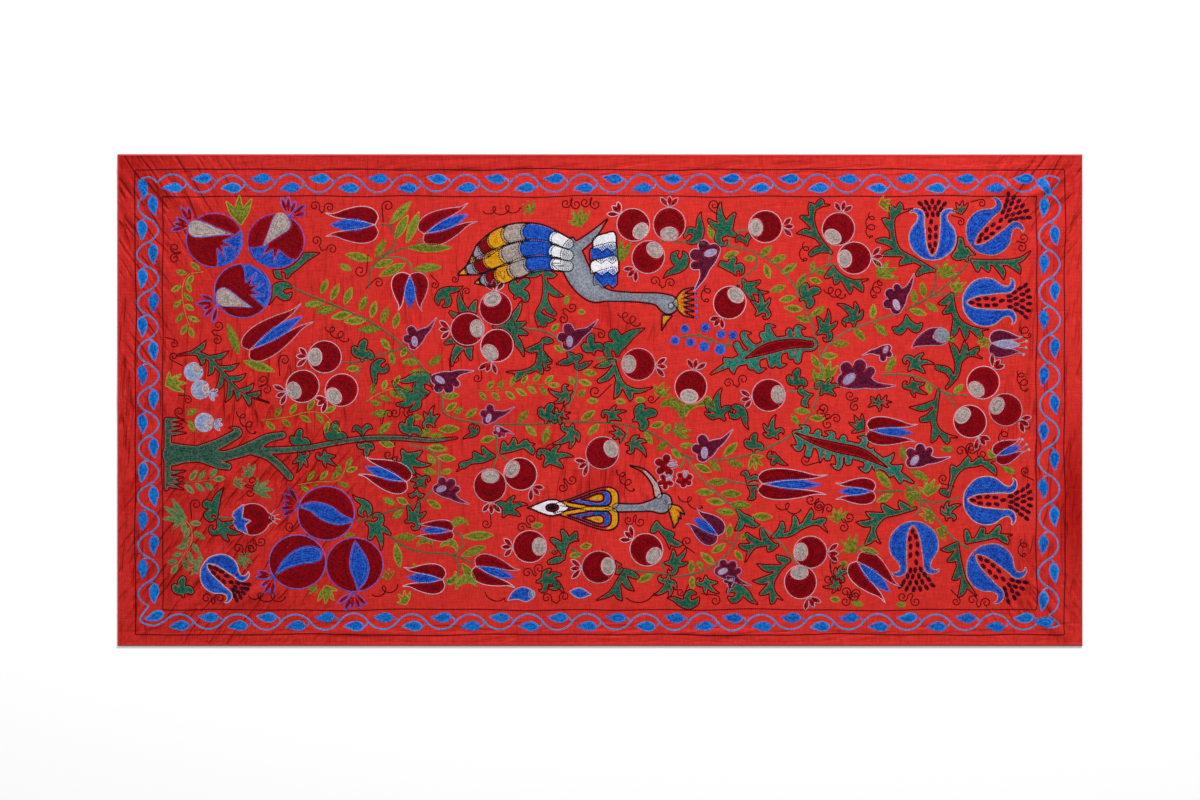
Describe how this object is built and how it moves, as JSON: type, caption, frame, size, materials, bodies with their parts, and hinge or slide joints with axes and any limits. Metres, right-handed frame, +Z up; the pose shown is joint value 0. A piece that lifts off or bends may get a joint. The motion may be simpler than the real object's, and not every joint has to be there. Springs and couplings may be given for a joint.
{
  "type": "embroidered suzani cloth",
  "caption": "Thin rectangular red silk cloth with a turned hem and floral chain-stitch embroidery, lying flat, for use as a hanging, spread or table cover.",
  "frame": {"origin": "under the middle of the cloth, on the surface that it lies on", "axes": "+X along the length, towards the end with the open fruits, +Y across the width, +Z up out of the embroidered face"},
  "size_m": [2.0609, 1.0501, 0.0064],
  "materials": {
    "silk": "red plain-weave silk with a soft sheen, chain-stitch embroidery in silk thread"
  },
  "bodies": {
    "root": {"cloth": "silk"}
  },
  "joints": []
}
